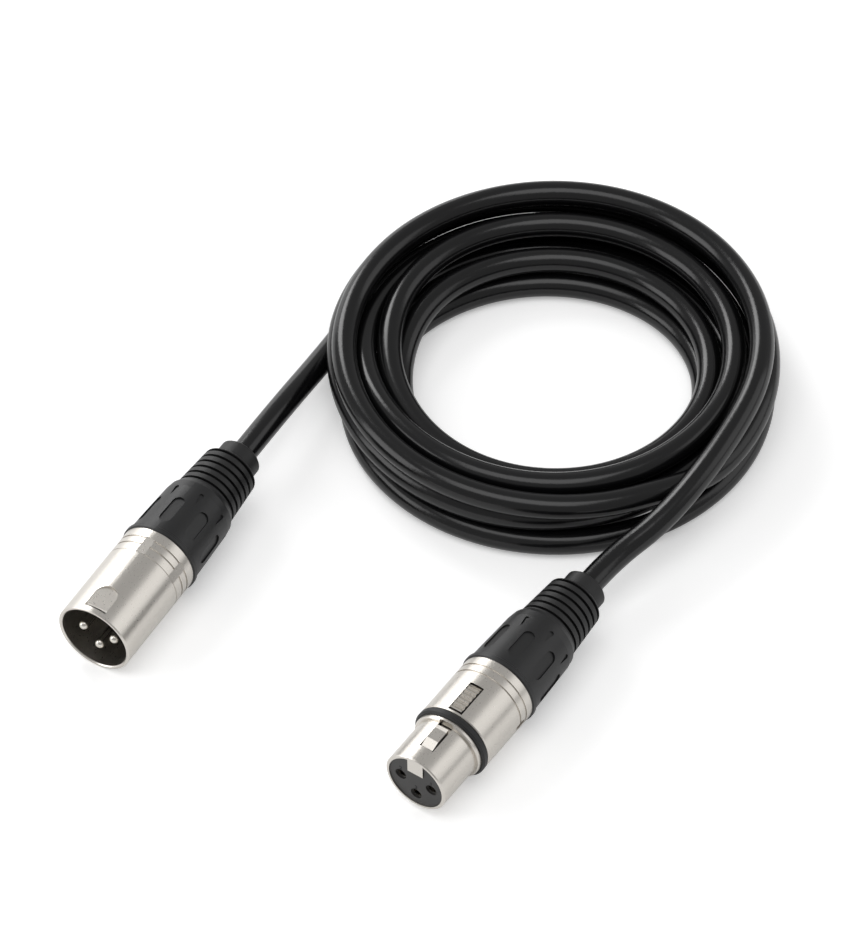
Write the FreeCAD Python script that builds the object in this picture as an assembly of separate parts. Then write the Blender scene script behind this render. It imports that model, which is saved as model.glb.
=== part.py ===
import FreeCAD, Part
import math
import os

# An XLR microphone cable, coiled for storage: a male and a female cable
# connector on a round PVC cord. Millimetres, +Z up, standing on z = 0.
# The coil lies at the back and both connectors in front of it, noses to -Y.
# Each connector is built along +X from its nose, with its key on top, and
# is then turned to its heading and laid on its shell and boot ring.

V = FreeCAD.Vector
X_AXIS = V(1, 0, 0)
Z_AXIS = V(0, 0, 1)

# ---------------------------------------------------------------- driving sizes
# Cord
CORD_D = 6.0
WIRE_D = 1.5
WIRE_OFFSET = 1.35
WIRE_INSET = 0.8

# Both shells
SHELL_D = 18.9
SHELL_EDGE = 0.25
REAR_WALL = 0.7
SPIGOT_LENGTH = 5.0
GROOVE_WIDTH = 0.45
GROOVE_DEPTH = 0.28
LINE_WIDTH = 0.2
LINE_DEPTH = 0.12
LAND_COUNT = 6
LAND_WIDTH = 2.3

# Contacts 1, 2 and 3, at angles from the key; the sockets mirror the pins.
# Their circle lies a set distance inside the female shell's bore.
CONTACT_WALL = 3.05
PIN_ANGLES = (270.0, 90.0, 180.0)
SOCKET_ANGLES = (90.0, 270.0, 180.0)
PIN_D = 2.4
PIN_ROOT_D = 2.8
CUP_D = 3.3
CUP_BORE_D = 2.2
CUP_LENGTH = 3.4
CUP_WEB = 0.8

# Male connector
MALE_LENGTH = 27.5
MALE_MOUTH_WALL = 0.9
MALE_CAVITY = 13.0
MALE_REAR_ROOM = 3.0
PIN_SETBACK = 1.3
PIN_COLLAR_D = 4.0
PIN_COLLAR_HEIGHT = 0.6
MALE_LINE = 7.2
MALE_GROOVES = (4.8, 2.7)
WINDOW_START = 1.3
WINDOW_LENGTH = 0.9
WINDOW_WIDTH = 5.6
PAD_LENGTH = 6.3
PAD_DEPTH = 0.5

# Female connector
FEMALE_LENGTH = 32.4
NOSE_STEP = 1.5
NOSE_WALL = 0.8
NOSE_LENGTH = 12.2
COLLAR_STEP = 0.7
COLLAR_LENGTH = 1.0
RING_PROUD = 0.05
RING_WIDTH = 2.0
RING_SEAT_STEP = 0.25
RING_EDGE = 0.4
FEMALE_GROOVES = (4.6, 2.4)
FEMALE_REAR_ROOM = 4.9
INSERT_SETBACK = 0.3
KEY_WIDTH = 4.1
KEY_LENGTH = 3.0
KEY_HEIGHT = 4.1
SOCKET_D = 3.5
SOCKET_BORE_D = 2.5
SOCKET_DEPTH = 12.0
SOCKET_SETBACK = 1.0
SOCKET_MOUTH_D = 2.9
SIDE_NOTCH_ANGLE = 99.0
SIDE_NOTCH_LENGTH = 3.0
SIDE_NOTCH_WIDTH = 1.3
SIDE_NOTCH_DEPTH = 0.6

# Latch of the female connector
LATCH_WIDTH = 3.0
HOOK_START = 4.7
HOOK_RAMP = 2.2
HOOK_HEIGHT = 0.4
TOOTH_LENGTH = 0.7
TOOTH_HEIGHT = 0.35
BAR_DEPTH = 2.35
BAR_THICK = 1.1
TAB_GAP = 0.7
TAB_TO_PIVOT = 1.2
TAB_PROUD = 0.3
TAB_RIDGES = 5
TAB_GROOVE_DEPTH = 0.35
LATCH_PIVOT_INSET = 7.0
LATCH_PIVOT_RISE = 0.7
LATCH_PIN_D = 1.2
LATCH_PIN_LENGTH = 6.4
LATCH_TRAVEL_DEG = 3.5
LATCH_END_RADIUS = 1.1
SLOT_GAP = 0.3
EAR_THICK = 1.6
SPRING_THICK = 0.25
SPRING_WIDTH = 2.4
SPRING_SPAN = 5.0
SPRING_TO_TAB = 0.4

# Boot: a hard bushing with grips, and the soft ribbed sleeve behind it.
# Its steps are how far each place lies inside the ring at its front.
BOOT_RING_PROUD = 0.35
BOOT_RING_WIDTH = 1.5
BOOT_NECK_STEP = 0.4
BOOT_MIDDLE_STEP = 0.65
BOOT_WAIST_STEP = 1.0
BOOT_REAR_STEP = 1.9
BOOT_EDGE = 0.3
BOOT_SHOULDER = 1.2
MALE_BOOT_ROLL = -5.0
FEMALE_BOOT_ROLL = 8.0
BOOT_GRIP_LENGTH = 16.0
BOOT_LENGTH = 19.2
GRIP_COUNT = 8
GRIP_LENGTH = 8.4
GRIP_WIDTH = 3.0
GRIP_START = 3.6
GRIP_DEPTH = 0.45
TEAR_LENGTH = 3.4
TEAR_WIDTH = 1.1
TEAR_START = 12.2
TEAR_DEPTH = 0.3
BOOT_THROAT_ROOM = 2.0
BOOT_THROAT_LEDGE = 0.5
RIB_COUNT = 6
RIB_PITCH = 2.06
RIB_GAP = 0.75
RIB_DEPTH = 0.9
RIB_FRONT_STEP = 0.15
RIB_TAPER = 0.85
SLEEVE_LIP = 0.5
SLEEVE_EDGE = 0.5
SLEEVE_COLLAR_WALL = 2.2
SLEEVE_COLLAR_LENGTH = 4.7
SLEEVE_SPIGOT = 4.5
JACKET_INSET = 5.0

# Cable clamp
CHUCK_ROOM = 1.95
CHUCK_REAR_WALL = 2.3
CHUCK_FRONT = 1.5
CHUCK_STRAIGHT = 7.0
CHUCK_TAPER = 6.0
CHUCK_SLITS = 4
CHUCK_SLIT_WIDTH = 0.8

# Earth springs, bowed strips between insert and shell
EARTH_WIDTH = 3.0
EARTH_THICK = 0.35
EARTH_GROOVE = 0.8

# Clearances (radial, or per side)
FIT_GAP = 0.05
THREAD_GAP = 0.15
LOOSE_GAP = 0.1
CORD_GAP = 0.05
NOTCH_GAP = 0.3

# Coil, in section: its walls, the heights of the top turns' centres, how far
# the outer one lies inside the wall, and the middle one's share of the way out
COIL_INNER_R = 34.3
COIL_OUTER_R = 52.9
COIL_FOOT = 1.5
COIL_INNER_HEIGHT = 9.1
COIL_MIDDLE_HEIGHT = 12.9
COIL_OUTER_HEIGHT = 15.4
COIL_OUTER_INSET = 3.9
COIL_MIDDLE_SHARE = 0.42

# Where each connector's nose lies, from the coil's centre, and its heading
MALE_NOSE = (-105.1, -85.1)
MALE_HEADING = 59.5
FEMALE_NOSE = (-32.1, -126.9)
FEMALE_HEADING = 55.3

# Cord routes to the coil: straight out of the sleeve for the lead, and then
# points chosen by hand
MALE_LEAD = 16.0
MALE_ROUTE = ((-53.3, 7.4, 4.6), (-43.8, 25.2, 3.0))
FEMALE_LEAD = 10.0
FEMALE_ROUTE = ((24.5, -52.8, 13.0), (35.4, -38.6, 16.1), (43.6, -24.0, 17.2))

# ---------------------------------------------------------------- worked out
CORD_R = CORD_D / 2
SHELL_R = SHELL_D / 2
REAR_BORE_D = SHELL_D - 2 * REAR_WALL
MALE_MOUTH_D = SHELL_D - 2 * MALE_MOUTH_WALL
MALE_INSERT_LENGTH = MALE_LENGTH - MALE_CAVITY - SPIGOT_LENGTH - MALE_REAR_ROOM
NOSE_D = SHELL_D - 2 * NOSE_STEP
NOSE_BORE_D = NOSE_D - 2 * NOSE_WALL
COLLAR_D = SHELL_D - 2 * COLLAR_STEP
RING_D = SHELL_D + 2 * RING_PROUD
RING_SEAT_D = NOSE_D + 2 * RING_SEAT_STEP
CONTACT_R = NOSE_BORE_D / 2 - CONTACT_WALL
KEY_FLOOR = NOSE_BORE_D / 2 - KEY_HEIGHT
FEMALE_INSERT_LENGTH = FEMALE_LENGTH - SPIGOT_LENGTH - FEMALE_REAR_ROOM - INSERT_SETBACK
BOOT_RING_D = SHELL_D + 2 * BOOT_RING_PROUD
BOOT_NECK_D = BOOT_RING_D - 2 * BOOT_NECK_STEP
BOOT_MIDDLE_D = BOOT_RING_D - 2 * BOOT_MIDDLE_STEP
BOOT_WAIST_D = BOOT_RING_D - 2 * BOOT_WAIST_STEP
BOOT_REAR_D = BOOT_RING_D - 2 * BOOT_REAR_STEP
BOOT_THROAT_D = CORD_D + 2 * BOOT_THROAT_ROOM
RIB_FRONT_D = BOOT_REAR_D - 2 * RIB_FRONT_STEP
RIB_REAR_D = RIB_FRONT_D - 2 * RIB_TAPER
SLEEVE_COLLAR_D = CORD_D + 2 * SLEEVE_COLLAR_WALL
CHUCK_D = REAR_BORE_D - 2 * CHUCK_ROOM
CHUCK_REAR_D = CORD_D + 2 * CHUCK_REAR_WALL
RIB_START = BOOT_LENGTH + SLEEVE_LIP
COLLAR_START = RIB_START + (RIB_COUNT - 1) * RIB_PITCH + 2 * RIB_GAP
SLEEVE_END = COLLAR_START + SLEEVE_COLLAR_LENGTH
CHUCK_CONE = CHUCK_STRAIGHT - CHUCK_FRONT
CHUCK_END = CHUCK_CONE + CHUCK_TAPER
RING_START = NOSE_LENGTH + COLLAR_LENGTH
TAB_START = RING_START + RING_WIDTH + TAB_GAP
BAR_BOTTOM = NOSE_D / 2 - BAR_DEPTH
LATCH_PIVOT_X = FEMALE_LENGTH - LATCH_PIVOT_INSET
LATCH_PIVOT_Z = BAR_BOTTOM + LATCH_PIVOT_RISE
TAB_LENGTH = LATCH_PIVOT_X - TAB_TO_PIVOT - TAB_START
SPRING_X = TAB_START - SPRING_TO_TAB
HOOK_END = NOSE_LENGTH - WINDOW_START - LOOSE_GAP
LATCH_SINK = (LATCH_PIVOT_X - HOOK_START) * math.sin(math.radians(LATCH_TRAVEL_DEG))
CHANNEL_FLOOR = BAR_BOTTOM - LATCH_SINK - SLOT_GAP
CHANNEL_HALF = LATCH_WIDTH / 2 + SLOT_GAP
COIL_INNER_TOP = (COIL_INNER_R + CORD_R, COIL_INNER_HEIGHT)
COIL_OUTER_TOP = (COIL_OUTER_R - COIL_OUTER_INSET, COIL_OUTER_HEIGHT)
COIL_WAY_OUT = COIL_OUTER_TOP[0] - COIL_INNER_TOP[0]
COIL_MIDDLE_TOP = (COIL_INNER_TOP[0] + COIL_MIDDLE_SHARE * COIL_WAY_OUT, COIL_MIDDLE_HEIGHT)


# ---------------------------------------------------------------- general shapes
def outline_wire(points):
    """Closed wire of (x, z) points; a point with four numbers is reached by
    an arc through its last two."""
    edges = []
    count = len(points)
    for index in range(count):
        start = points[index]
        end = points[(index + 1) % count]
        a = V(start[0], 0, start[1])
        b = V(end[0], 0, end[1])
        if len(end) == 4:
            edges.append(Part.Arc(a, V(end[2], 0, end[3]), b).toShape())
        else:
            edges.append(Part.LineSegment(a, b).toShape())
    return Part.Wire(edges)


def turned(points):
    """Solid of revolution about the X axis from an (x, radius) outline."""
    face = Part.Face(outline_wire(points))
    return face.revolve(V(0, 0, 0), X_AXIS, 360)


def rod(radius, x0, x1):
    return Part.makeCylinder(radius, x1 - x0, V(x0, 0, 0), X_AXIS)


def block(x0, x1, y0, y1, z0, z1):
    return Part.makeBox(x1 - x0, y1 - y0, z1 - z0, V(x0, y0, z0))


def slab(points, width):
    """Side view (x, z) outline, extruded evenly to both sides of y = 0."""
    face = Part.Face(outline_wire(points))
    face.translate(V(0, -width / 2, 0))
    return face.extrude(V(0, width, 0))


def around(shape, degrees):
    """Copy turned about the connector's axis."""
    copy = shape.copy()
    copy.rotate(V(0, 0, 0), X_AXIS, degrees)
    return copy


def at_contact(shape, degrees):
    """Copy moved from the axis to a contact's place; 0 degrees is the top."""
    angle = math.radians(degrees)
    copy = shape.copy()
    copy.translate(V(0, -CONTACT_R * math.sin(angle), CONTACT_R * math.cos(angle)))
    return copy


def round_path(points):
    """Wire of straight runs joined by arcs, each as large as its runs allow."""
    runs = [points[i + 1].sub(points[i]) for i in range(len(points) - 1)]
    edges = []
    radii = []
    start = points[0]
    for index in range(1, len(points) - 1):
        before = runs[index - 1]
        after = runs[index]
        half = before.getAngle(after) / 2
        reach = 0.45 * min(before.Length, after.Length)
        unit_in = V(before).normalize()
        unit_out = V(after).normalize()
        enter = points[index] - unit_in * reach
        leave = points[index] + unit_out * reach
        bisector = (unit_out - unit_in).normalize()
        radius = reach / math.tan(half)
        middle = points[index] + bisector * (radius / math.cos(half) - radius)
        edges.append(Part.LineSegment(start, enter).toShape())
        edges.append(Part.Arc(enter, middle, leave).toShape())
        radii.append(radius)
        start = leave
    edges.append(Part.LineSegment(start, points[-1]).toShape())
    return Part.Wire(edges), radii


def round_tube(points, radius, label):
    """Tube along a rounded path, its volume compared with section x length."""
    path, radii = round_path(points)
    direction = points[1].sub(points[0])
    circle = Part.Edge(Part.Circle(points[0], direction, radius))
    tube = path.makePipeShell([Part.Wire([circle])], True, False)
    expected = math.pi * radius ** 2 * path.Length
    rounded = ", ".join("%.0f" % value for value in radii)
    print("%s: length %.1f, bend radii %s, volume / expected %.4f"
          % (label, path.Length, rounded, tube.Volume / expected))
    return tube


# ---------------------------------------------------------------- shared pieces
def ring_cut(x, width, depth):
    """Ring-shaped cutter for a line round the shell."""
    outer = rod(SHELL_R + 1, x - width / 2, x + width / 2)
    return outer.cut(rod(SHELL_R - depth, x - width, x + width))


def solder_cup(x0):
    """Hollow end of a contact, open at its rear and cut away on top."""
    x1 = x0 + CUP_LENGTH
    cup = rod(CUP_D / 2, x0, x1)
    cup = cup.cut(rod(CUP_BORE_D / 2, x0 + CUP_WEB, x1 + 1))
    return cup.cut(block(x0 + CUP_LENGTH / 2, x1 + 1, -CUP_D, CUP_D, 0, CUP_D))


def earth_spring(insert_r, x0, x1):
    """Bowed strip that lies in a groove under the insert."""
    top = -insert_r + EARTH_GROOVE - LOOSE_GAP
    low = top - EARTH_THICK
    bow = low + math.sqrt(insert_r ** 2 - (EARTH_WIDTH / 2) ** 2)
    middle = (x0 + x1) / 2
    return slab([
        (x0, low),
        (x1, low, middle, low - bow),
        (x1, top),
        (x0, top, middle, top - bow),
    ], EARTH_WIDTH)


def earth_groove(insert_r, x0, x1):
    half = EARTH_WIDTH / 2 + LOOSE_GAP
    return block(x0, x1, -half, half, -insert_r - 1, -insert_r + EARTH_GROOVE)


def boot():
    """Hard bushing: grip body with its threaded spigot, open right through."""
    spigot_r = REAR_BORE_D / 2 - THREAD_GAP
    bore_r = CHUCK_D / 2 + LOOSE_GAP
    cone_r = CHUCK_REAR_D / 2 + LOOSE_GAP
    throat_r = BOOT_THROAT_D / 2
    ring_r = BOOT_RING_D / 2
    neck_r = BOOT_NECK_D / 2
    edge = BOOT_EDGE
    throat_x = CHUCK_END + BOOT_THROAT_LEDGE
    shoulder_x = BOOT_LENGTH - BOOT_SHOULDER
    shoulder_r = BOOT_REAR_D / 2 + BOOT_SHOULDER / 2
    body = turned([
        (-SPIGOT_LENGTH, bore_r),
        (-SPIGOT_LENGTH, spigot_r - edge),
        (-SPIGOT_LENGTH + edge, spigot_r),
        (0, spigot_r),
        (0, ring_r - edge),
        (edge, ring_r),
        (BOOT_RING_WIDTH - edge, ring_r),
        (BOOT_RING_WIDTH, neck_r),
        (BOOT_GRIP_LENGTH / 2, BOOT_MIDDLE_D / 2),
        (BOOT_GRIP_LENGTH, BOOT_WAIST_D / 2),
        (shoulder_x, shoulder_r),
        (BOOT_LENGTH, BOOT_REAR_D / 2),
        (BOOT_LENGTH, throat_r),
        (throat_x, throat_r),
        (throat_x, cone_r),
        (CHUCK_CONE, bore_r),
    ])
    step = 360 / GRIP_COUNT
    for index in range(GRIP_COUNT):
        body = body.cut(around(grip_cutter(), index * step))
        body = body.cut(around(tear_cutter(), (index + 0.5) * step))
    return body


def grip_cutter():
    """Flat-bottomed oval pocket, tilted to follow the body's taper."""
    half = GRIP_WIDTH / 2
    x0 = GRIP_START + half
    x1 = GRIP_START + GRIP_LENGTH - half
    drop = (BOOT_NECK_D - BOOT_MIDDLE_D) / 2 / (BOOT_GRIP_LENGTH / 2 - BOOT_RING_WIDTH)
    floor = BOOT_NECK_D / 2 - GRIP_DEPTH - drop * (x0 - BOOT_RING_WIDTH)
    oval = Part.Wire([
        Part.LineSegment(V(x0, -half, floor), V(x1, -half, floor)).toShape(),
        Part.Arc(V(x1, -half, floor), V(x1 + half, 0, floor), V(x1, half, floor)).toShape(),
        Part.LineSegment(V(x1, half, floor), V(x0, half, floor)).toShape(),
        Part.Arc(V(x0, half, floor), V(x0 - half, 0, floor), V(x0, -half, floor)).toShape(),
    ])
    cutter = Part.Face(oval).extrude(V(0, 0, BOOT_RING_D / 2))
    cutter.rotate(V(x0, 0, floor), V(0, 1, 0), math.degrees(drop))
    return cutter


def tear_cutter():
    """Pointed mark behind each gap between two grips."""
    half = TEAR_WIDTH / 2
    x1 = TEAR_START + TEAR_LENGTH - half
    floor = BOOT_WAIST_D / 2 - TEAR_DEPTH
    tip = V(TEAR_START, 0, floor)
    drop = Part.Wire([
        Part.LineSegment(tip, V(x1, -half, floor)).toShape(),
        Part.Arc(V(x1, -half, floor), V(x1 + half, 0, floor), V(x1, half, floor)).toShape(),
        Part.LineSegment(V(x1, half, floor), tip).toShape(),
    ])
    return Part.Face(drop).extrude(V(0, 0, BOOT_RING_D / 2))


def sleeve():
    """Soft strain relief: ribs that shrink towards the collar."""
    bore_r = CORD_R + CORD_GAP
    start = BOOT_LENGTH + CORD_GAP
    collar_r = SLEEVE_COLLAR_D / 2
    rear_r = RIB_REAR_D / 2
    slope = (RIB_FRONT_D / 2 - rear_r) / (COLLAR_START - start)
    spigot_r = BOOT_THROAT_D / 2 - LOOSE_GAP
    outline = [
        (start - SLEEVE_SPIGOT, bore_r),
        (start - SLEEVE_SPIGOT, spigot_r),
        (start, spigot_r),
        (start, RIB_FRONT_D / 2),
    ]
    for index in range(RIB_COUNT):
        front = RIB_START + index * RIB_PITCH
        rear = front + RIB_GAP
        front_r = RIB_FRONT_D / 2 - slope * (front - start)
        behind_r = RIB_FRONT_D / 2 - slope * (rear - start)
        outline += [(front, front_r), (front, front_r - RIB_DEPTH)]
        outline += [(rear, front_r - RIB_DEPTH), (rear, behind_r)]
    edge = SLEEVE_EDGE
    outline += [
        (COLLAR_START - edge, rear_r),
        (COLLAR_START, rear_r - edge),
        (COLLAR_START, collar_r),
        (SLEEVE_END - edge, collar_r),
        (SLEEVE_END, collar_r - edge),
        (SLEEVE_END, bore_r),
    ]
    return turned(outline)


def chuck():
    """Collet that the boot closes on the cord: funnel in front, slits behind."""
    bore_r = CORD_R + CORD_GAP
    body = turned([
        (-CHUCK_FRONT, CONTACT_R + WIRE_D / 2 + NOTCH_GAP),
        (-CHUCK_FRONT, CHUCK_D / 2),
        (CHUCK_CONE, CHUCK_D / 2),
        (CHUCK_END, CHUCK_REAR_D / 2),
        (CHUCK_END, bore_r),
        (JACKET_INSET, bore_r),
    ])
    half = CHUCK_SLIT_WIDTH / 2
    slit = block(0, CHUCK_END + 1, -half, half, 0, CHUCK_D)
    for index in range(CHUCK_SLITS):
        body = body.cut(around(slit, (index + 0.5) * 360 / CHUCK_SLITS))
    return body


def wires(cup_x, jacket_x, angles):
    """Three insulated conductors, from the solder cups into the cord's end."""
    solids = []
    start_x = cup_x - WIRE_INSET
    for degrees in angles:
        angle = math.radians(degrees)
        side = V(0, -math.sin(angle), math.cos(angle))
        start = V(start_x, 0, 0) + side * CONTACT_R
        run = V(jacket_x - start_x, 0, 0) + side * (WIRE_OFFSET - CONTACT_R)
        wire = Part.makeCylinder(WIRE_D / 2, run.Length, start, run)
        room = block(start_x, jacket_x, -CHUCK_D, CHUCK_D, -CHUCK_D, CHUCK_D)
        solids.append(wire.common(room))
    return Part.makeCompound(solids)


def boot_group(prefix, shell_length, cup_x, angles, roll):
    """The pieces that every connector has behind its shell."""
    jacket_x = shell_length + JACKET_INSET
    group = {
        prefix + "_boot": around(boot(), roll),
        prefix + "_sleeve": sleeve(),
        prefix + "_chuck": chuck(),
    }
    for shape in group.values():
        shape.translate(V(shell_length, 0, 0))
    group[prefix + "_cord_end"] = rod(CORD_R, jacket_x, shell_length + SLEEVE_END)
    group[prefix + "_wires"] = wires(cup_x, jacket_x, angles)
    return group


# ---------------------------------------------------------------- male connector
def male_shell():
    """Tube with the latch's window and thumb pad, and lands across its grooves."""
    mouth_r = MALE_MOUTH_D / 2
    shell = turned([
        (0, mouth_r + SHELL_EDGE),
        (0, SHELL_R - SHELL_EDGE),
        (SHELL_EDGE, SHELL_R),
        (MALE_LENGTH, SHELL_R),
        (MALE_LENGTH, REAR_BORE_D / 2),
        (MALE_CAVITY, REAR_BORE_D / 2),
        (MALE_CAVITY, mouth_r),
        (SHELL_EDGE, mouth_r),
    ])
    line_x = MALE_LENGTH - MALE_LINE
    rings = ring_cut(line_x, LINE_WIDTH, LINE_DEPTH)
    for distance in MALE_GROOVES:
        rings = rings.fuse(ring_cut(MALE_LENGTH - distance, GROOVE_WIDTH, GROOVE_DEPTH))
    half = LAND_WIDTH / 2
    land_r = math.sqrt(SHELL_R ** 2 - half ** 2)
    land = block(line_x, MALE_LENGTH - MALE_GROOVES[-1] + GROOVE_WIDTH, -half, half, 0, SHELL_R + 1)
    shave = land.cut(block(line_x - 1, MALE_LENGTH, -SHELL_R, SHELL_R, -1, land_r))
    for index in range(LAND_COUNT):
        rings = rings.cut(around(land, index * 360 / LAND_COUNT))
        shell = shell.cut(around(shave, index * 360 / LAND_COUNT))
    shell = shell.cut(rings)
    half = WINDOW_WIDTH / 2
    pad_x = WINDOW_START + WINDOW_LENGTH
    pad_z = SHELL_R - PAD_DEPTH
    centre = pad_x + PAD_LENGTH - half
    window = block(WINDOW_START, pad_x, -half, half, 0, SHELL_R + 1)
    pad = block(pad_x, centre, -half, half, pad_z, SHELL_R + 1)
    pad = pad.fuse(Part.makeCylinder(half, 2, V(centre, 0, pad_z)))
    return shell.cut(window).cut(pad)


def male_insert():
    """Contact carrier: a disc with a raised collar round each pin."""
    radius = REAR_BORE_D / 2 - FIT_GAP
    x0 = MALE_CAVITY + FIT_GAP
    x1 = MALE_CAVITY + MALE_INSERT_LENGTH
    insert = rod(radius, x0, x1)
    hole = rod(PIN_ROOT_D / 2 + FIT_GAP, 0, x1 + 1)
    collar = rod(PIN_COLLAR_D / 2, x0 - PIN_COLLAR_HEIGHT, x1)
    for degrees in PIN_ANGLES:
        insert = insert.fuse(at_contact(collar, degrees))
        insert = insert.cut(at_contact(hole, degrees))
    return insert.cut(earth_groove(radius, x0 - 1, x1 + 1))


def contact_pin():
    """Round-ended pin with a thicker root, flush with the insert's collar."""
    radius = PIN_D / 2
    root_x = MALE_CAVITY + FIT_GAP - PIN_COLLAR_HEIGHT
    rear = MALE_CAVITY + MALE_INSERT_LENGTH
    tip = PIN_SETBACK + radius
    knee = radius * math.sqrt(0.5)
    shank = turned([
        (PIN_SETBACK, 0),
        (tip, radius, tip - knee, knee),
        (root_x, radius),
        (root_x, PIN_ROOT_D / 2),
        (rear, PIN_ROOT_D / 2),
        (rear, 0),
    ])
    return shank.fuse(solder_cup(rear))


def male_connector():
    rear = MALE_CAVITY + MALE_INSERT_LENGTH
    pieces = {"male_shell": male_shell(), "male_insert": male_insert()}
    for number, degrees in enumerate(PIN_ANGLES, 1):
        pieces["male_pin_%d" % number] = at_contact(contact_pin(), degrees)
    radius = REAR_BORE_D / 2 - FIT_GAP
    pieces["male_earth_spring"] = earth_spring(radius, MALE_CAVITY + SLOT_GAP, rear - SLOT_GAP)
    pieces.update(boot_group("male", MALE_LENGTH, rear + CUP_LENGTH, PIN_ANGLES, MALE_BOOT_ROLL))
    return pieces


# ---------------------------------------------------------------- female connector
def female_shell():
    """Stepped tube: nose with its key, seat for the bumper, body with the tab slot."""
    nose_r = NOSE_D / 2
    bore_r = NOSE_BORE_D / 2
    collar_r = COLLAR_D / 2
    seat_r = RING_SEAT_D / 2
    body_x = RING_START + RING_WIDTH
    step_x = INSERT_SETBACK + FEMALE_INSERT_LENGTH
    shell = turned([
        (0, bore_r),
        (0, nose_r - SHELL_EDGE),
        (SHELL_EDGE, nose_r),
        (NOSE_LENGTH, nose_r),
        (NOSE_LENGTH, collar_r - SHELL_EDGE),
        (NOSE_LENGTH + SHELL_EDGE, collar_r),
        (RING_START, collar_r),
        (RING_START, seat_r),
        (body_x, seat_r),
        (body_x, SHELL_R - SHELL_EDGE),
        (body_x + SHELL_EDGE, SHELL_R),
        (FEMALE_LENGTH, SHELL_R),
        (FEMALE_LENGTH, REAR_BORE_D / 2),
        (step_x, REAR_BORE_D / 2),
        (step_x, bore_r),
    ])
    for distance in FEMALE_GROOVES:
        shell = shell.cut(ring_cut(FEMALE_LENGTH - distance, GROOVE_WIDTH, GROOVE_DEPTH))
    half = CHANNEL_HALF
    hook_slot = block(HOOK_START - SLOT_GAP, NOSE_LENGTH + SLOT_GAP, -half, half, KEY_FLOOR, SHELL_R)
    tab_end = TAB_START + TAB_LENGTH + SLOT_GAP
    tab_slot = block(TAB_START - SLOT_GAP, tab_end, -half, half, KEY_FLOOR, SHELL_R + 1)
    half = KEY_WIDTH / 2
    key = block(0, KEY_LENGTH, -half, half, KEY_FLOOR, (bore_r + nose_r) / 2)
    shell = shell.cut(hook_slot).cut(tab_slot).fuse(key)
    notch_x = FEMALE_LENGTH - FEMALE_GROOVES[0] - SIDE_NOTCH_LENGTH / 2
    half = SIDE_NOTCH_WIDTH / 2
    floor = SHELL_R - SIDE_NOTCH_DEPTH
    notch = block(notch_x, notch_x + SIDE_NOTCH_LENGTH, -half, half, floor, SHELL_R + 1)
    return shell.cut(around(notch, SIDE_NOTCH_ANGLE))


def female_insert():
    """Contact carrier with the latch's channel, and ears that hold its pin."""
    radius = NOSE_BORE_D / 2 - FIT_GAP
    x0 = INSERT_SETBACK
    x1 = x0 + FEMALE_INSERT_LENGTH
    ear_end = LATCH_PIVOT_X + EAR_THICK
    ear_half = CHANNEL_HALF + EAR_THICK
    ears = rod(radius, x1, ear_end).common(
        block(x1, ear_end, -ear_half, ear_half, CHANNEL_FLOOR - EAR_THICK, radius))
    insert = rod(radius, x0, x1).fuse(ears)
    channel_x = KEY_LENGTH + LOOSE_GAP
    channel = block(channel_x, ear_end + 1, -CHANNEL_HALF, CHANNEL_HALF, CHANNEL_FLOOR, radius + 1)
    key_half = KEY_WIDTH / 2 + LOOSE_GAP
    keyway = block(x0 - 1, channel_x, -key_half, key_half, KEY_FLOOR - LOOSE_GAP, radius + 1)
    insert = insert.cut(channel).cut(keyway)
    mouth = rod(SOCKET_MOUTH_D / 2, x0 - 1, SOCKET_SETBACK + 1)
    seat = rod(SOCKET_D / 2 + FIT_GAP, SOCKET_SETBACK, x1 + 1)
    for degrees in SOCKET_ANGLES:
        insert = insert.cut(at_contact(mouth, degrees)).cut(at_contact(seat, degrees))
    insert = insert.cut(hinge_rod(LATCH_PIN_D / 2 + FIT_GAP, 2 * radius))
    return insert.cut(earth_groove(radius, x1 - MALE_INSERT_LENGTH, x1 + 1))


def hinge_rod(radius, length):
    """Cylinder across the connector on the latch's pivot."""
    start = V(LATCH_PIVOT_X, -length / 2, LATCH_PIVOT_Z)
    return Part.makeCylinder(radius, length, start, V(0, 1, 0))


def contact_socket():
    x0 = SOCKET_SETBACK
    rear = INSERT_SETBACK + FEMALE_INSERT_LENGTH
    bore_r = SOCKET_BORE_D / 2
    bore_end = x0 + SOCKET_DEPTH
    bore = turned([
        (x0 - 1, 0),
        (x0 - 1, bore_r),
        (bore_end, bore_r),
        (bore_end + bore_r / 2, 0),
    ])
    return rod(SOCKET_D / 2, x0, rear).cut(bore).fuse(solder_cup(rear))


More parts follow.
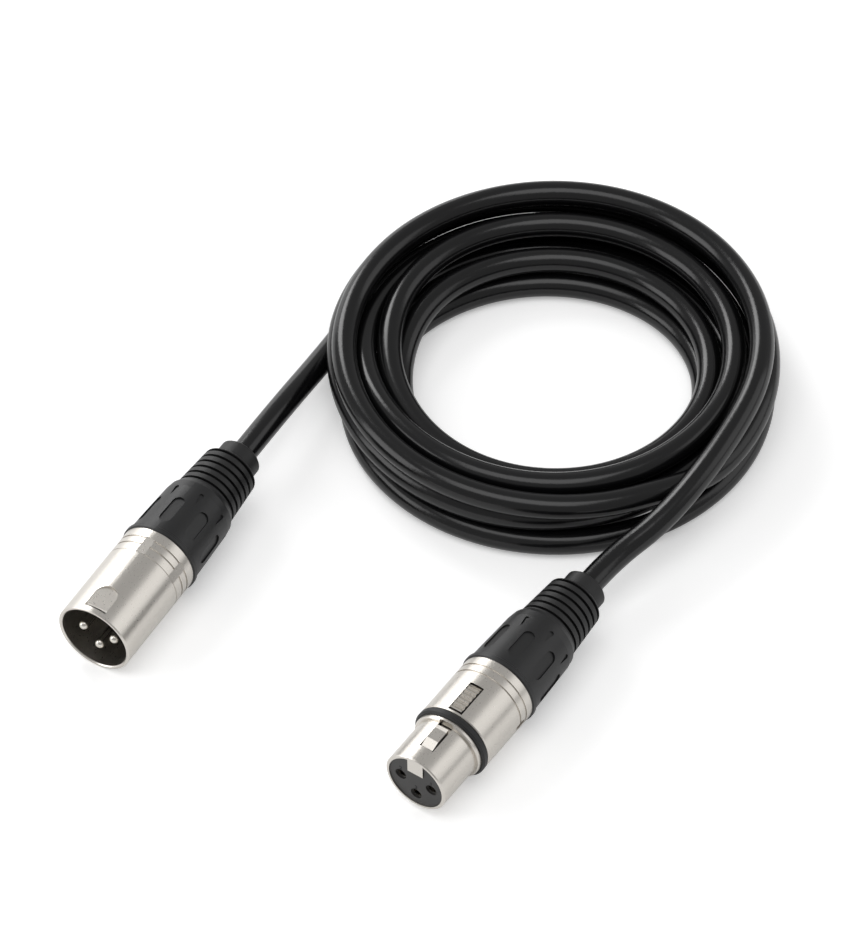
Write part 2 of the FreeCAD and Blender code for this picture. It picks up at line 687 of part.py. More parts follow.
def latch_lever():
    """One rocking piece: toothed hook at the nose, bar under the ring, ridged tab."""
    hook_z = NOSE_D / 2 + HOOK_HEIGHT
    bar_top = BAR_BOTTOM + BAR_THICK
    tab_x = TAB_START + TAB_LENGTH
    tab_z = SHELL_R + TAB_PROUD
    end_x = LATCH_PIVOT_X + LATCH_END_RADIUS
    end_top = LATCH_PIVOT_Z + LATCH_END_RADIUS
    tooth_x = HOOK_END - TOOTH_LENGTH
    lever = slab([
        (HOOK_START, BAR_BOTTOM),
        (HOOK_START, NOSE_D / 2 - HOOK_HEIGHT),
        (HOOK_START + HOOK_RAMP, hook_z),
        (tooth_x, hook_z),
        (HOOK_END, hook_z + TOOTH_HEIGHT),
        (HOOK_END, bar_top),
        (TAB_START, bar_top),
        (TAB_START, tab_z),
        (tab_x - BAR_THICK, tab_z),
        (tab_x, SHELL_R - TAB_GROOVE_DEPTH),
        (tab_x, end_top),
        (LATCH_PIVOT_X, end_top),
        (LATCH_PIVOT_X, LATCH_PIVOT_Z - LATCH_END_RADIUS, end_x, LATCH_PIVOT_Z),
        (LATCH_PIVOT_X - 2 * LATCH_END_RADIUS, BAR_BOTTOM),
    ], LATCH_WIDTH)
    pitch = (TAB_LENGTH - BAR_THICK) / TAB_RIDGES
    floor = tab_z - TAB_GROOVE_DEPTH
    for index in range(TAB_RIDGES):
        x = TAB_START + (index + 0.3) * pitch
        valley = [(x, tab_z), (x + pitch * 0.35, floor), (x + pitch * 0.7, floor), (x + pitch * 0.7, tab_z)]
        lever = lever.cut(slab(valley, LATCH_WIDTH + 1))
    return lever.cut(hinge_rod(LATCH_PIN_D / 2 + FIT_GAP, 2 * LATCH_WIDTH))


def latch_spring():
    """Leaf spring, arched between the channel's floor and the latch's bar."""
    crest = BAR_BOTTOM - FIT_GAP
    x0 = SPRING_X - SPRING_SPAN / 2
    x1 = SPRING_X + SPRING_SPAN / 2
    return slab([
        (x0, CHANNEL_FLOOR),
        (x1, CHANNEL_FLOOR, SPRING_X, crest),
        (x1 - SPRING_THICK, CHANNEL_FLOOR),
        (x0 + SPRING_THICK, CHANNEL_FLOOR, SPRING_X, crest - SPRING_THICK),
    ], SPRING_WIDTH)


def bumper_ring():
    """Soft ring in the shell's seat, rounded where it stands out."""
    outer = RING_D / 2
    inner = RING_SEAT_D / 2 + FIT_GAP
    x0 = RING_START + FIT_GAP
    x1 = RING_START + RING_WIDTH - FIT_GAP
    edge = RING_EDGE
    return turned([
        (x0, inner),
        (x0, outer - edge),
        (x0 + edge, outer),
        (x1 - edge, outer),
        (x1, outer - edge),
        (x1, inner),
    ])


def female_connector():
    rear = INSERT_SETBACK + FEMALE_INSERT_LENGTH
    pieces = {"female_shell": female_shell(), "female_insert": female_insert()}
    for number, degrees in enumerate(SOCKET_ANGLES, 1):
        pieces["female_socket_%d" % number] = at_contact(contact_socket(), degrees)
    pieces["bumper_ring"] = bumper_ring()
    pieces["latch_lever"] = latch_lever()
    pieces["latch_pin"] = hinge_rod(LATCH_PIN_D / 2, LATCH_PIN_LENGTH)
    pieces["latch_spring"] = latch_spring()
    radius = NOSE_BORE_D / 2 - FIT_GAP
    start = rear - MALE_INSERT_LENGTH + SLOT_GAP
    pieces["female_earth_spring"] = earth_spring(radius, start, rear - SLOT_GAP)
    pieces.update(boot_group("female", FEMALE_LENGTH, rear + CUP_LENGTH, SOCKET_ANGLES, FEMALE_BOOT_ROLL))
    return pieces


# ---------------------------------------------------------------- cord
def coil_outline():
    """Half section of the wound turns: a low inner, a middle and a high outer top."""
    points = [
        (COIL_INNER_R + COIL_FOOT, 0),
        (COIL_INNER_R, COIL_FOOT),
        (COIL_INNER_R, COIL_INNER_TOP[1]),
    ]
    tops = (COIL_INNER_TOP, COIL_MIDDLE_TOP, COIL_OUTER_TOP, (COIL_OUTER_R - CORD_R, 0))
    side = V(-1, 0, 0)
    for here, following in zip(tops, tops[1:]):
        centre = V(here[0], 0, here[1])
        step = V(following[0], 0, following[1]) - centre
        following_side = step.cross(V(0, 1, 0)).normalize()
        middle = centre + (side + following_side).normalize() * CORD_R
        end = centre + following_side * CORD_R
        if here != COIL_INNER_TOP:
            start = centre + side * CORD_R
            points.append((start.x, start.z))
        points.append((end.x, end.z, middle.x, middle.z))
        side = following_side
    points.append((COIL_OUTER_R, COIL_FOOT))
    points.append((COIL_OUTER_R - COIL_FOOT, 0))
    return points


def tail_notch(start, end, below, above):
    """Room in the coil for a tail's straight run, up to the wall at its end."""
    half = CORD_R + NOTCH_GAP
    run = start - end
    notch = Part.makeBox(run.Length + CORD_D, 2 * half, below + above, V(0, -half, -below))
    level = math.hypot(run.x, run.y)
    notch.rotate(V(0, 0, 0), V(0, 1, 0), -math.degrees(math.atan2(run.z, level)))
    notch.rotate(V(0, 0, 0), Z_AXIS, math.degrees(math.atan2(run.y, run.x)))
    notch.translate(end)
    return notch


def coil_solid(male_run, female_run):
    """Outer shape of the turns, with a seat for each tail where it comes in."""
    face = Part.Face(outline_wire(coil_outline()))
    ring = face.revolve(V(0, 0, 0), Z_AXIS, 360)
    reach = CORD_R + NOTCH_GAP
    for points, below, above in ((male_run, CORD_D, reach), (female_run, reach, CORD_D)):
        for start, end in zip(points[1:], points[2:]):
            ring = ring.cut(tail_notch(start, end, below, above))
    return ring


# ---------------------------------------------------------------- layout
def lie(shell_length, rest_x, rest_d):
    """Tilt that lets both the boot's ring and the shell touch the ground."""
    return math.degrees(math.atan2((BOOT_RING_D - rest_d) / 2, shell_length - rest_x))


def placed(shape, nose, heading, shell_length, tilt):
    """Turn a shape of a connector to its heading and lay it down."""
    shape.translate(V(-shell_length, 0, 0))
    shape.rotate(V(0, 0, 0), V(0, 1, 0), -tilt)
    shape.translate(V(shell_length, 0, BOOT_RING_D / 2))
    shape.rotate(V(0, 0, 0), Z_AXIS, heading)
    shape.translate(V(nose[0], nose[1], 0))
    return shape


def half_cable(pieces, prefix, shell_length, rest_x, rest_d, nose, heading, lead, route):
    """Lay one connector down and run its tail to the coil, by the points given back."""
    tilt = lie(shell_length, rest_x, rest_d)
    for shape in pieces.values():
        placed(shape, nose, heading, shell_length, tilt)
    points = []
    for reach in (0, lead):
        mark = Part.Vertex(shell_length + SLEEVE_END + reach, 0, 0)
        points.append(placed(mark, nose, heading, shell_length, tilt).Point)
    points += [V(*point) for point in route]
    pieces[prefix + "_tail"] = round_tube(points, CORD_R, prefix + " tail")
    return pieces, points


def build():
    male, male_run = half_cable(male_connector(), "male", MALE_LENGTH, SHELL_EDGE, SHELL_D,
                                MALE_NOSE, MALE_HEADING, MALE_LEAD, MALE_ROUTE)
    rest_x = RING_START + RING_EDGE
    female, female_run = half_cable(female_connector(), "female", FEMALE_LENGTH, rest_x, RING_D,
                                    FEMALE_NOSE, FEMALE_HEADING, FEMALE_LEAD, FEMALE_ROUTE)
    return {**male, **female, "coil": coil_solid(male_run, female_run)}


def centre_on_base(nodes):
    """Move all nodes so that the box's bottom centre is the origin."""
    box = FreeCAD.BoundBox()
    for shape in nodes.values():
        box.add(shape.optimalBoundingBox(False))
    shift = V(-box.Center.x, -box.Center.y, -box.ZMin)
    for shape in nodes.values():
        shape.translate(shift)
    print("size %.2f x %.2f x %.2f" % (box.XLength, box.YLength, box.ZLength))
    print("coil centre at %.3f, %.3f, %.3f" % (shift.x, shift.y, shift.z))


parts = build()
centre_on_base(parts)
os.makedirs("parts", exist_ok=True)
for name, shape in parts.items():
    solids = len(shape.Solids)
    print("%-20s solids %d, valid %s, volume %.1f" % (name, solids, shape.isValid(), shape.Volume))
    shape.exportStep("parts/%s.step" % name)
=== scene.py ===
# %% [markdown]
# # A coiled microphone cable
# The object is a round black cord wound into a flat coil, with a metal pin
# plug on one end and a metal socket plug on the other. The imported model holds
# every hard piece. This script dresses those pieces in real finishes, draws
# the cord as one long curve, and lights the scene like a small studio table.

# %% Load the frame
import math
import bpy
import numpy as np
from mathutils import Matrix, Vector


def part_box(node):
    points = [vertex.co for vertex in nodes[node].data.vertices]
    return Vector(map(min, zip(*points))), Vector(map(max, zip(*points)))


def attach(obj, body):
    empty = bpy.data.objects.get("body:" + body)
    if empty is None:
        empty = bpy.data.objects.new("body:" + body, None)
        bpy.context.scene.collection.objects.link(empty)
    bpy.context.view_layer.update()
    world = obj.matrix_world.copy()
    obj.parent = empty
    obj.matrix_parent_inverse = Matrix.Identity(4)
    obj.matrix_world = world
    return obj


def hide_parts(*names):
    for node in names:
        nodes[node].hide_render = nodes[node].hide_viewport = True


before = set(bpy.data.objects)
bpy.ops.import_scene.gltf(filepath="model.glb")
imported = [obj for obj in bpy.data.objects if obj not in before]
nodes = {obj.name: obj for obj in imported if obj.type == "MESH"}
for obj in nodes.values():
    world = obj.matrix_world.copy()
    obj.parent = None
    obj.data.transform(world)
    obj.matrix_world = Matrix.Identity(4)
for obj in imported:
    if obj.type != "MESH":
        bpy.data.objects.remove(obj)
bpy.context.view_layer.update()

# %% [markdown]
# ## Where things are
# The coil's centre is the centre of its solid's box, so every other place can
# be given from there. Each plug was built along its own axis, from its nose
# back to its sleeve, with its key on top. A small matrix takes a point from
# the plug's own axes to its place on the table.

# %% Places of the coil and the two plugs
MM = 0.001
low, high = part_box("coil")
COIL = Vector(((low.x + high.x) / 2, (low.y + high.y) / 2, 0))

BOOT_RING_R = 9.8 * MM
MALE = {"nose": (-105.1, -85.1), "heading": 59.5, "length": 27.5, "rest": (0.25, 9.45)}
FEMALE = {"nose": (-32.1, -126.9), "heading": 55.3, "length": 32.4, "rest": (13.6, 9.5)}
SLEEVE_END = 36.2


def plug_matrix(plug):
    """From the plug's own axes, in metres, to the table."""
    length = plug["length"] * MM
    rest_x, rest_r = (value * MM for value in plug["rest"])
    tilt = math.atan2(BOOT_RING_R - rest_r, length - rest_x)
    nose = COIL + Vector((plug["nose"][0] * MM, plug["nose"][1] * MM, 0))
    turn = Matrix.Rotation(math.radians(plug["heading"]), 4, "Z")
    lean = Matrix.Translation((length, 0, BOOT_RING_R)) @ Matrix.Rotation(-tilt, 4, "Y")
    return Matrix.Translation(nose) @ turn @ lean @ Matrix.Translation((-length, 0, 0))


MALE_AXES = plug_matrix(MALE)
FEMALE_AXES = plug_matrix(FEMALE)


def on_plug(plug, x, y=0.0, z=0.0):
    """A point of a plug, given in millimetres along its own axes."""
    axes = MALE_AXES if plug is MALE else FEMALE_AXES
    return axes @ Vector((x * MM, y * MM, z * MM))


print("coil centre", [round(v, 4) for v in COIL])

# %% [markdown]
# ## The camera
# A long lens far away shows the coil almost without perspective, so circles
# stay clean ellipses. The camera looks down at a little under fifty degrees.

# %% Camera
ELEVATION = math.radians(48.12)
DISTANCE = 1.4
AIM = COIL + Vector((-27.93, -23.18, 0)) * MM
LENS = 247.3
SENSOR = 36

camera_data = bpy.data.cameras.new("camera")
camera = bpy.data.objects.new("camera", camera_data)
bpy.context.scene.collection.objects.link(camera)
camera.location = AIM + DISTANCE * Vector((0, -math.cos(ELEVATION), math.sin(ELEVATION)))
camera.rotation_euler = (math.pi / 2 - ELEVATION, 0, 0)
camera_data.sensor_fit = "HORIZONTAL"
camera_data.sensor_width = SENSOR
camera_data.lens = LENS
camera_data.clip_end = 20
bpy.context.scene.camera = camera
print("camera at", [round(v, 3) for v in camera.location])

# %% [markdown]
# ## The cord's route
# The real cord is one piece from plug to plug, a little over two metres long
# and six millimetres thick. Its two free ends are short and nearly straight,
# so their points are listed. The turns between them are worked out in
# three steps. First a few stations say how far out and how high each turn
# lies. Then a loop lays points round the coil through those stations. Last, a
# settling loop pushes neighbours apart until they lie a cord's width from each
# other, as real turns do.

# %% Free ends of the cord
CORD_D = 6.0
CORD_R = CORD_D / 2
START_ANGLE = 150.0
STEP = 15.0
MALE_LEAD = 16.0
FEMALE_LEAD = 10.0
MALE_ROUTE = [(-53.3, 7.4, 4.6)]
FEMALE_ROUTE = [(43.6, -24.0, 17.2), (35.4, -38.6, 16.1), (24.5, -52.8, 13.0)]


def from_coil(point):
    """Millimetres from the coil's centre, as numpy."""
    return np.array((point - COIL) / MM)


male_end = [from_coil(on_plug(MALE, MALE["length"] + SLEEVE_END + lead))
            for lead in (0.0, MALE_LEAD)]
male_end += [np.array(point) for point in MALE_ROUTE]
female_end = [np.array(point) for point in FEMALE_ROUTE]
female_end += [from_coil(on_plug(FEMALE, FEMALE["length"] + SLEEVE_END + lead))
               for lead in (FEMALE_LEAD, 0.0)]

# %% Stations of the turns: clockwise degrees from the start, radius and height
LANES = [
    {60: (50.4, 3.0), 150: (49.4, 3.0), 200: (51.2, 3.0), 240: (50.2, 3.0),
     285: (50.4, 3.0), 330: (48.8, 3.0)},
    {60: (43.2, 3.0), 150: (43.4, 3.0), 240: (43.5, 3.0), 300: (43.6, 3.0), 330: (41.6, 3.0)},
    {0: (35.2, 3.0), 30: (31.6, 3.0), 60: (30.6, 3.0), 90: (31.4, 3.0), 120: (34.2, 3.0),
     150: (37.4, 3.0), 240: (37.6, 3.0), 300: (37.6, 3.2), 330: (38.2, 6.6)},
    {0: (36.4, 8.9), 30: (33.8, 9.0), 60: (33.6, 9.0), 90: (34.1, 9.0), 120: (36.9, 9.0),
     150: (37.9, 9.0), 240: (36.7, 9.1), 330: (38.2, 10.0)},
    {0: (42.6, 13.0), 30: (42.2, 13.0), 60: (42.0, 13.0), 90: (42.4, 13.2), 120: (43.6, 13.6),
     150: (43.2, 13.6), 240: (41.8, 13.4), 330: (42.2, 13.4)},
    {0: (47.0, 8.6), 60: (48.0, 8.6), 120: (46.4, 8.2), 150: (45.6, 8.0), 205: (46.4, 8.2),
     240: (49.0, 9.1), 285: (49.4, 9.1), 330: (48.6, 9.1)},
    {0: (49.8, 13.5), 60: (51.2, 11.4), 120: (49.8, 12.0), 150: (49.0, 12.3), 180: (50.2, 11.4),
     200: (51.4, 11.0), 235: (49.6, 15.2), 330: (49.4, 15.2)},
    {30: (49.0, 16.0), 60: (49.0, 16.2), 90: (50.0, 16.4), 120: (49.2, 17.2),
     150: (49.0, 18.2), 165: (49.2, 18.2)},
]
stations = [(0.0, 50.3, 3.0)]
for lane, marks in enumerate(LANES):
    stations += [(360.0 * lane + angle, *lies) for angle, lies in marks.items()]
stations = np.array(stations)


def eased(angle):
    """Radius and height at a winding angle, easing from one station to the next."""
    index = min(int(np.searchsorted(stations[:, 0], angle, "right")), len(stations) - 1)
    before, after = stations[index - 1], stations[index]
    part = min(max((angle - before[0]) / (after[0] - before[0]), 0.0), 1.0)
    part = part * part * (3 - 2 * part)
    return before[1:] * (1 - part) + after[1:] * part


windings = np.arange(0.0, stations[-1, 0] + 0.1, STEP)
wanted = np.array([eased(angle) for angle in windings])
print("turns: %.2f, points on them: %d" % (windings[-1] / 360, len(windings)))

# %% Settle the turns on each other and on the table
# Each round pushes touching turns apart, smooths the line a little, and pulls
# it back to its stations. That pull fades out before the last rounds.
PER_TURN = int(360 / STEP)
ROUNDS = 600
CLEARANCE = CORD_D * 1.015
HALF_EACH = 0.5
PUSH_SHARE = 0.6
PULL_SHARE = 0.12
PULL_FADES_BY = 0.8
SMOOTH_EARLY = 0.05
SMOOTH_ALWAYS = 0.01


def samples(points, spacing=1.0):
    """Points every millimetre along a list of points."""
    found = []
    for start, end in zip(points, points[1:]):
        count = max(int(np.linalg.norm(end - start) / spacing), 1)
        found += [start + (end - start) * part / count for part in range(count)]
    return np.array(found + [points[-1]])


def place(angle, radius, height):
    """A point of the winding, in millimetres from the coil's centre."""
    turn = math.radians(START_ANGLE - angle)
    return np.array((radius * math.cos(turn), radius * math.sin(turn), height))


def settle(wanted):
    """Move radius and height until turns lie a diameter apart, near their stations."""
    lane = wanted.copy()
    count = len(lane)
    ends = [samples(male_end + [place(0.0, *wanted[0])]), samples(female_end)]
    reach = (slice(PER_TURN // 2, count), slice(0, count - PER_TURN // 2))
    directions = np.array([place(angle, 1.0, 0.0)[:2] for angle in windings])
    for turn_round in range(ROUNDS):
        hold = max(0.0, 1 - turn_round / (PULL_FADES_BY * ROUNDS))
        push = np.zeros_like(lane)
        for shift in range(PER_TURN, count, PER_TURN):
            gap = lane[shift:] - lane[:-shift]
            far = np.linalg.norm(gap, axis=1)
            short = np.clip(CLEARANCE - far, 0, None)[:, None] * gap / far[:, None] * HALF_EACH
            push[shift:] += short
            push[:-shift] -= short
        for line, allowed in zip(ends, reach):
            chosen = np.arange(count)[allowed]
            spots = np.column_stack([directions[chosen] * lane[chosen, :1], lane[chosen, 1]])
            away = spots[:, None, :] - line[None]
            far = np.linalg.norm(away, axis=2)
            near = far.argmin(axis=1)
            for row, index in enumerate(chosen):
                closest = far[row, near[row]]
                if closest < CLEARANCE:
                    shove = away[row, near[row]] / closest * (CLEARANCE - closest)
                    push[index] += (shove[:2] @ directions[index], shove[2])
        bend = np.zeros_like(lane)
        smooth = SMOOTH_EARLY * hold + SMOOTH_ALWAYS
        bend[1:-1] = (lane[2:] + lane[:-2] - 2 * lane[1:-1]) * smooth
        pull = (wanted - lane) * PULL_SHARE * hold
        pull[0] = bend[0] = push[0] = 0
        pull[-1] = bend[-1] = push[-1] = 0
        lane += push * PUSH_SHARE + bend + pull
        lane[:, 1] = np.clip(lane[:, 1], CORD_R, None)
    return lane


settled = settle(wanted)
moved = np.linalg.norm(settled - wanted, axis=1)
print("settling moved the turns by %.2f mm on average, %.2f mm at most"
      % (moved.mean(), moved.max()))

# %% One smooth curve from plug to plug
# Control points lie a little outside the circle that a smooth curve draws. The
# bevel is one metre deep and each point's radius scales it down to the cord's,
# because Blender takes that radius for the box round the curve.
OUTSIDE = 1 / math.cos(math.radians(STEP / 2))
turn_points = [place(angle, radius * OUTSIDE, height)
               for angle, (radius, height) in zip(windings, settled)]
route = male_end + turn_points + female_end
route = [COIL + Vector(point) * MM for point in route]

curve = bpy.data.curves.new("cord", "CURVE")
curve.dimensions = "3D"
spline = curve.splines.new("NURBS")
spline.points.add(len(route) - 1)
for control, point in zip(spline.points, route):
    control.co = (*point, 1.0)
    control.radius = CORD_R * MM
spline.order_u = 3
spline.use_endpoint_u = True
spline.resolution_u = 6
curve.bevel_depth = 1.0
curve.bevel_resolution = 7
curve.use_fill_caps = True
cord = bpy.data.objects.new("cord", curve)
bpy.context.scene.collection.objects.link(cord)

# %% The cord's real line, measured
NEIGHBOURS = 0.03
FAR_AWAY = 9.0
bare = curve.copy()
bare.bevel_depth = 0
bare_object = bpy.data.objects.new("bare", bare)
line = bpy.data.meshes.new_from_object(bare_object)
line_points = np.array([vertex.co for vertex in line.vertices])
bpy.data.objects.remove(bare_object)


def tightest(points):
    """Smallest distance in metres between parts of the line that aren't neighbours."""
    steps = np.linalg.norm(np.diff(points, axis=0), axis=1)
    along = np.concatenate(([0], np.cumsum(steps)))
    best = (FAR_AWAY, 0, 0)
    for index in range(0, len(points), 2):
        far = np.linalg.norm(points - points[index], axis=1)
        far[np.abs(along - along[index]) < NEIGHBOURS] = FAR_AWAY
        other = int(np.argmin(far))
        best = min(best, (float(far[other]), index, other))
    return best


gap, here, there = tightest(line_points)

# %% The cord takes the place of its solids
female_pieces = [name for name in nodes if name.startswith("female_") and "tail" not in name]
female_pieces += ["bumper_ring", "latch_lever", "latch_pin", "latch_spring"]
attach(cord, "cable")
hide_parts("male_tail", "coil", "female_tail")

# %% [markdown]
# ## Tools for materials
# Colours are written as sRGB hex, as a designer picks them, and one function
# turns them to the linear values that Blender uses. One more function adds a
# node with its settings and links.

# %% Colour and node helpers
def srgb(code):
    """Linear RGBA from a hex colour."""
    values = [int(code[i:i + 2], 16) / 255 for i in (0, 2, 4)]
    linear = [v / 12.92 if v <= 0.04045 else ((v + 0.055) / 1.055) ** 2.4
              for v in values]
    return (*linear, 1.0)


def add_node(tree, kind, settings=None, **links):
    """Add a node, set its properties and sockets, and link named inputs."""
    node = tree.nodes.new(kind)
    for name, value in (settings or {}).items():
        if name in node.inputs:
            node.inputs[name].default_value = value
        else:
            setattr(node, name, value)
    for name, source in links.items():
        tree.links.new(source, node.inputs[name.replace("_", " ")])
    return node


def new_material(name):
    """Empty node material with its output, ready for one shader."""
    material = bpy.data.materials.new(name)
    material.use_nodes = True
    material.node_tree.nodes.clear()
    output = material.node_tree.nodes.new("ShaderNodeOutputMaterial")
    return material, material.node_tree, output


def principled(tree, output, settings, **links):
    """Principled shader with its settings and links, joined to the output."""
    shader = add_node(tree, "ShaderNodeBsdfPrincipled", settings, **links)
    tree.links.new(shader.outputs[0], output.inputs["Surface"])


def dress(names, material):
    """Give CAD nodes one material in place of their own."""
    for name in names:
        slots = nodes[name].data.materials
        slots.clear()
        slots.append(material)
    print(material.name, "on", len(names), "pieces")


# %% [markdown]
# ## Cord jacket
# The jacket is extruded black PVC: smooth and fairly glossy, with a faint
# waviness along it from cooling and from being wound.

# %% Black PVC jacket
def pvc_jacket():
    """Glossy PVC: waves 11 mm long in its gloss, ripples 1.1 mm long in its skin."""
    material, tree, output = new_material("extruded_pvc_jacket")
    place_on = add_node(tree, "ShaderNodeTexCoord")
    wave = add_node(tree, "ShaderNodeTexNoise", {"Scale": 90.0, "Detail": 2.0},
                    Vector=place_on.outputs["Object"])
    fine = add_node(tree, "ShaderNodeTexNoise", {"Scale": 900.0, "Detail": 3.0},
                    Vector=place_on.outputs["Object"])
    rough = add_node(tree, "ShaderNodeMapRange", {"To Min": 0.17, "To Max": 0.23},
                     Value=wave.outputs["Fac"])
    bump = add_node(tree, "ShaderNodeBump", {"Strength": 0.06, "Distance": 0.0003},
                    Height=fine.outputs["Fac"])
    principled(tree, output, {"Base Color": srgb("0c0c0d"), "IOR": 1.46},
               Roughness=rough.outputs[0], Normal=bump.outputs[0])
    return material


curve.materials.append(pvc_jacket())

# %% [markdown]
# ## Nickel shells
# Both shells are die-cast zinc with satin nickel plating. The plating is even
# and silky, so a highlight spreads into a soft band along the plug. The real
# grain is too fine to show, and is drawn about half a millimetre wide. The tone
# drifts slowly over the shell.

# %% Satin nickel
def satin_nickel(name, axes):
    """Nickel with a fine grain, laid along the axes of its plug."""
    material, tree, output = new_material(name)
    place_on = add_node(tree, "ShaderNodeTexCoord")
    local = add_node(tree, "ShaderNodeMapping", {"vector_type": "TEXTURE"},
                     Vector=place_on.outputs["Object"])
    local.inputs["Location"].default_value = axes.to_translation()
    local.inputs["Rotation"].default_value = axes.to_euler()
    grain_map = add_node(tree, "ShaderNodeMapping", {"Scale": (1500.0, 2600.0, 2600.0)},
                         Vector=local.outputs[0])
    grain = add_node(tree, "ShaderNodeTexNoise", {"Scale": 1.0, "Detail": 4.0},
                     Vector=grain_map.outputs[0])
    cloud = add_node(tree, "ShaderNodeTexNoise", {"Scale": 60.0, "Detail": 2.0},
                     Vector=local.outputs[0])
    tone = add_node(tree, "ShaderNodeMapRange",
                    {"From Min": 0.3, "From Max": 0.7, "To Min": 0.27, "To Max": 0.3},
                    Value=grain.outputs["Fac"])
    colour = add_node(tree, "ShaderNodeMix", {"data_type": "RGBA"}, Factor=cloud.outputs["Fac"])
    # Inputs 6 and 7 are the two colours that this node mixes.
    colour.inputs[6].default_value = srgb("dad6cf")
    colour.inputs[7].default_value = srgb("cfcac3")
    bump = add_node(tree, "ShaderNodeBump", {"Strength": 0.006, "Distance": 0.00003},
                    Height=grain.outputs["Fac"])
    principled(tree, output, {"Metallic": 1.0}, Base_Color=colour.outputs[2],
               Roughness=tone.outputs[0], Normal=bump.outputs[0])
    return material


dress(["male_shell"], satin_nickel("satin_nickel_male", MALE_AXES))
dress(["female_shell", "latch_lever"], satin_nickel("satin_nickel_female", FEMALE_AXES))

# %% [markdown]
# ## Plastics and rubber
# The boots are satin black polyamide, moulded in a finely eroded tool. The
# sleeves and the bumper are softer and duller. The contact carriers are
# glass-filled polyester, near black in the pin plug and grey in the socket one.

# %% Moulded plastics
def moulded(name, code, roughness, grain, depth):
    """Moulded plastic with a fine grain, its scale given in grains per metre."""
    material, tree, output = new_material(name)
    place_on = add_node(tree, "ShaderNodeTexCoord")
    grains = add_node(tree, "ShaderNodeTexNoise", {"Scale": grain, "Detail": 2.0},
                      Vector=place_on.outputs["Object"])
    patch = add_node(tree, "ShaderNodeTexNoise", {"Scale": 120.0, "Detail": 2.0},
                     Vector=place_on.outputs["Object"])
    rough = add_node(tree, "ShaderNodeMapRange",
                     {"To Min": roughness - 0.05, "To Max": roughness + 0.05},
                     Value=patch.outputs["Fac"])
    bump = add_node(tree, "ShaderNodeBump", {"Strength": 0.25, "Distance": depth},
                    Height=grains.outputs["Fac"])
    principled(tree, output, {"Base Color": srgb(code), "IOR": 1.5},
               Roughness=rough.outputs[0], Normal=bump.outputs[0])
    return material


boot_plastic = moulded("satin_polyamide", "141415", 0.42, 2600.0, 0.00004)
soft_rubber = moulded("black_polyurethane", "0d0d0e", 0.5, 3000.0, 0.00004)
carrier_plastic = moulded("glass_filled_polyester", "1d1a18", 0.5, 2400.0, 0.00005)
grey_carrier = moulded("grey_glass_filled_polyester", "2e2d2c", 0.5, 2400.0, 0.00005)
wire_skin = moulded("wire_insulation", "8a1f1a", 0.4, 1500.0, 0.00002)
dress(["male_boot", "female_boot", "male_chuck", "female_chuck"], boot_plastic)
dress(["male_sleeve", "female_sleeve", "bumper_ring"], soft_rubber)
dress(["male_insert"], carrier_plastic)
dress(["female_insert"], grey_carrier)
dress(["male_wires", "female_wires"], wire_skin)
dress(["male_cord_end", "female_cord_end"], curve.materials[0])

# %% [markdown]
# ## Contacts and springs
# Pins and sockets are silver-plated bronze, turned and lightly burnished. The
# springs and the hinge pin are bare stainless steel.

# %% Small metals
def small_metal(name, code, roughness):
    """Turned or stamped metal, its gloss broken by spots under a millimetre."""
    material, tree, output = new_material(name)
    place_on = add_node(tree, "ShaderNodeTexCoord")
    spots = add_node(tree, "ShaderNodeTexNoise", {"Scale": 1200.0, "Detail": 2.0},
                     Vector=place_on.outputs["Object"])
    rough = add_node(tree, "ShaderNodeMapRange",
                     {"To Min": roughness - 0.06, "To Max": roughness + 0.06},
                     Value=spots.outputs["Fac"])
    principled(tree, output, {"Base Color": srgb(code), "Metallic": 1.0},
               Roughness=rough.outputs[0])
    return material


silver = small_metal("silver_plated_bronze", "d8d4cc", 0.22)
steel = small_metal("stainless_spring", "a5a5a6", 0.3)
contacts = ["male_pin_%d" % number for number in (1, 2, 3)]
contacts += ["female_socket_%d" % number for number in (1, 2, 3)]
dress(contacts, silver)
dress(["latch_pin", "latch_spring", "male_earth_spring", "female_earth_spring"], steel)

# %% [markdown]
# ## Socket numbers
# The face of the female carrier has a small figure above each hole. The figures
# are text, made a mesh and then laid on the face, a hair's breadth proud of it.

# %% Numbers over the sockets
FACE_X = 0.3
FIGURE_SIZE = 1.7
FIGURE_RISE = 2.1
STROKE_MORE = 0.05
PROUD = 0.012
face_ink = moulded("pad_printed_ink", "040404", 0.8, 2600.0, 0.00002)
bpy.ops.object.select_all(action="DESELECT")
for number in (1, 2, 3):
    low_corner, high_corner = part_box("female_socket_%d" % number)
    middle = FEMALE_AXES.inverted() @ ((Vector(low_corner) + Vector(high_corner)) / 2)
    bpy.ops.object.text_add(location=(0, 0, 0))
    figure = bpy.context.object
    figure.name = "socket_number_%d" % number
    figure.data.body = str(number)
    figure.data.size = FIGURE_SIZE * MM
    figure.data.offset = STROKE_MORE * MM
    figure.data.extrude = PROUD * MM
    figure.data.align_x = "CENTER"
    figure.data.align_y = "CENTER"
    bpy.ops.object.convert(target="MESH")
    figure = bpy.context.object
    above = middle.z + FIGURE_RISE * MM
    upright = Matrix(((0, 0, -1, FACE_X * MM), (-1, 0, 0, middle.y),
                      (0, 1, 0, above), (0, 0, 0, 1)))
    figure.data.transform(FEMALE_AXES @ upright)
    figure.data.materials.clear()
    figure.data.materials.append(face_ink)
    figure.select_set(False)
    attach(figure, "cable")
    print(figure.name, "over the socket at", [round(v / MM, 2) for v in middle])

# %% [markdown]
# ## Table, backdrop and light
# The cable lies on a plain pale table that runs on past the view. A little
# glow, only for the camera and for reflections, brings the table to white, and
# it keeps the soft shadow. A wide softbox hangs above, and a smaller one stands
# behind on the left and draws the long highlights. Two dim cards fill the shells'
# sides, a weak box fills from the left, and the room gives the rest.

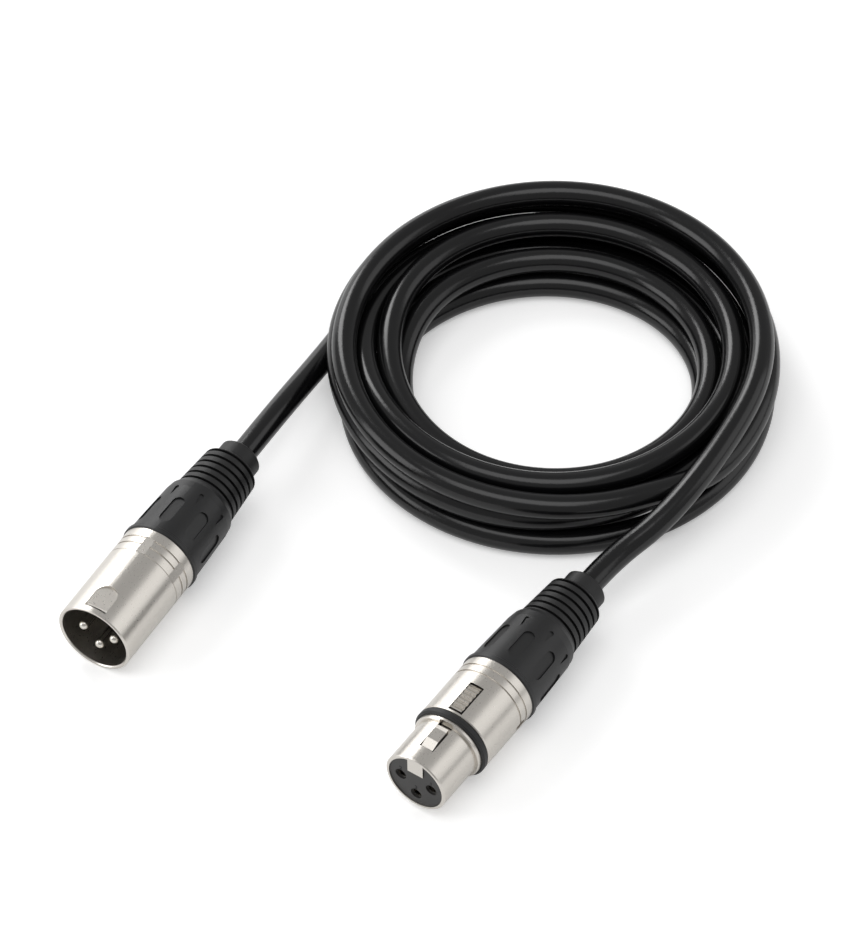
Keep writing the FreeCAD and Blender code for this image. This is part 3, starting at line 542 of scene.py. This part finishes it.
# %% Table
CAMERA_GLOW = 0.3
METAL_GLOW = 0.08
bpy.ops.object.select_all(action="DESELECT")
bpy.ops.mesh.primitive_plane_add(size=6.0, location=(0, 0, 0))
table = bpy.context.object
table.name = "table"
material, tree, output = new_material("white_table")
rays = add_node(tree, "ShaderNodeLightPath")
to_camera = add_node(tree, "ShaderNodeMath", {"operation": "MULTIPLY"})
tree.links.new(rays.outputs["Is Camera Ray"], to_camera.inputs[0])
to_camera.inputs[1].default_value = CAMERA_GLOW
to_metal = add_node(tree, "ShaderNodeMath", {"operation": "MULTIPLY"})
tree.links.new(rays.outputs["Is Glossy Ray"], to_metal.inputs[0])
to_metal.inputs[1].default_value = METAL_GLOW
lift = add_node(tree, "ShaderNodeMath", {"operation": "ADD"})
tree.links.new(to_camera.outputs[0], lift.inputs[0])
tree.links.new(to_metal.outputs[0], lift.inputs[1])
glow = add_node(tree, "ShaderNodeEmission", {"Color": (1, 1, 1, 1)})
tree.links.new(lift.outputs[0], glow.inputs["Strength"])
matt = add_node(tree, "ShaderNodeBsdfDiffuse", {"Color": srgb("f8f8f8")})
both = add_node(tree, "ShaderNodeAddShader")
tree.links.new(matt.outputs[0], both.inputs[0])
tree.links.new(glow.outputs[0], both.inputs[1])
tree.links.new(both.outputs[0], output.inputs["Surface"])
table.data.materials.append(material)
print("table, glowing for the camera at", CAMERA_GLOW)

# %% Room light
ROOM_LEVEL = 0.42
world = bpy.data.worlds.new("room")
bpy.context.scene.world = world
world.use_nodes = True
tree = world.node_tree
tree.nodes.clear()
output = tree.nodes.new("ShaderNodeOutputWorld")
rays = add_node(tree, "ShaderNodeLightPath")
seen = add_node(tree, "ShaderNodeMath", {"operation": "MAXIMUM"})
tree.links.new(rays.outputs["Is Camera Ray"], seen.inputs[0])
tree.links.new(rays.outputs["Is Transmission Ray"], seen.inputs[1])
white = add_node(tree, "ShaderNodeBackground", {"Color": (1, 1, 1, 1), "Strength": 1.0})
grey = add_node(tree, "ShaderNodeBackground", {"Color": (1, 1, 1, 1), "Strength": ROOM_LEVEL})
pick = add_node(tree, "ShaderNodeMixShader")
tree.links.new(seen.outputs[0], pick.inputs[0])
tree.links.new(grey.outputs[0], pick.inputs[1])
tree.links.new(white.outputs[0], pick.inputs[2])
tree.links.new(pick.outputs[0], output.inputs["Surface"])
print("room lit at", ROOM_LEVEL)


# %% Softboxes
def softbox(name, place, size, power):
    """Rectangular area lamp that looks at the middle of the cable."""
    lamp = bpy.data.lights.new(name, "AREA")
    lamp.shape = "RECTANGLE"
    lamp.size, lamp.size_y = size
    lamp.energy = power
    box = bpy.data.objects.new(name, lamp)
    bpy.context.scene.collection.objects.link(box)
    box.location = place
    aim = Vector((0, 0, 0)) - Vector(place)
    box.rotation_euler = aim.to_track_quat("-Z", "Y").to_euler()
    print(name, power, "watts")


softbox("left_softbox", (-1.25, -0.2, 0.5), (0.75, 0.9), 5.0)
softbox("top_softbox", (-0.1, -0.3, 1.4), (1.2, 0.9), 6.5)
softbox("rear_left_strip", (-0.66, 1.06, 0.86), (0.5, 0.75), 6.6)
softbox("back_left_card", (-0.6, 1.3, 0.2), (1.0, 0.4), 1.5)
softbox("right_card", (1.3, 0.2, 0.7), (1.0, 1.0), 2.4)

# %% [markdown]
# ## Finish
# The Standard view shows each colour as it is written.

# %% Look
bpy.context.scene.view_settings.view_transform = "Standard"

# %% Finish
bpy.context.view_layer.update()
